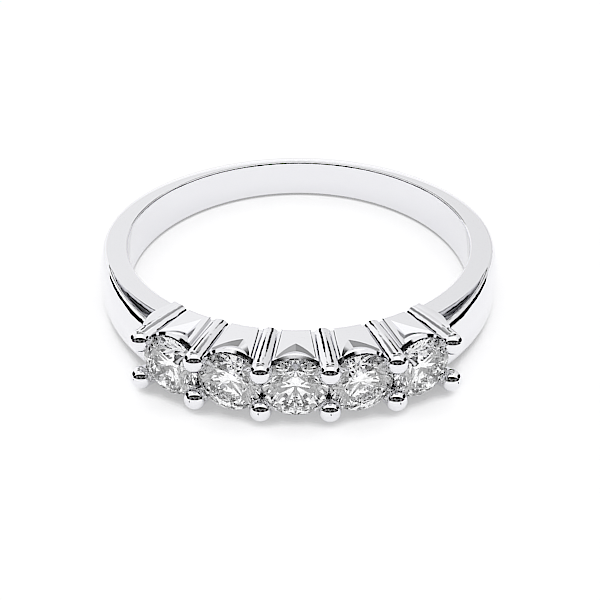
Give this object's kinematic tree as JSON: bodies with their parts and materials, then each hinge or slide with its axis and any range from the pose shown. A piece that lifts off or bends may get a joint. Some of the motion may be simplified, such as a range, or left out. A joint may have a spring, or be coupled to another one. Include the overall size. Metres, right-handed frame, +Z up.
{
  "type": "five stone ring",
  "caption": "White metal finger ring set with a curved row of equal round brilliant-cut clear stones held by shared ball claws on a pierced gallery.",
  "frame": {"origin": "on the floor under the middle of the ring's bounding box", "axes": "+Z up with the ring laid on its side, +X along the row of stones to its right end, the stones towards -Y and the plain back of the band towards +Y"},
  "size_m": [0.0198, 0.0216, 0.0036],
  "materials": {
    "white_metal": "mirror polished",
    "clear_stone": "faceted and polished"
  },
  "bodies": {
    "root": {"ring_mount": "white_metal", "stone_1": "clear_stone", "stone_2": "clear_stone", "stone_3": "clear_stone", "stone_4": "clear_stone", "stone_5": "clear_stone"}
  },
  "joints": []
}
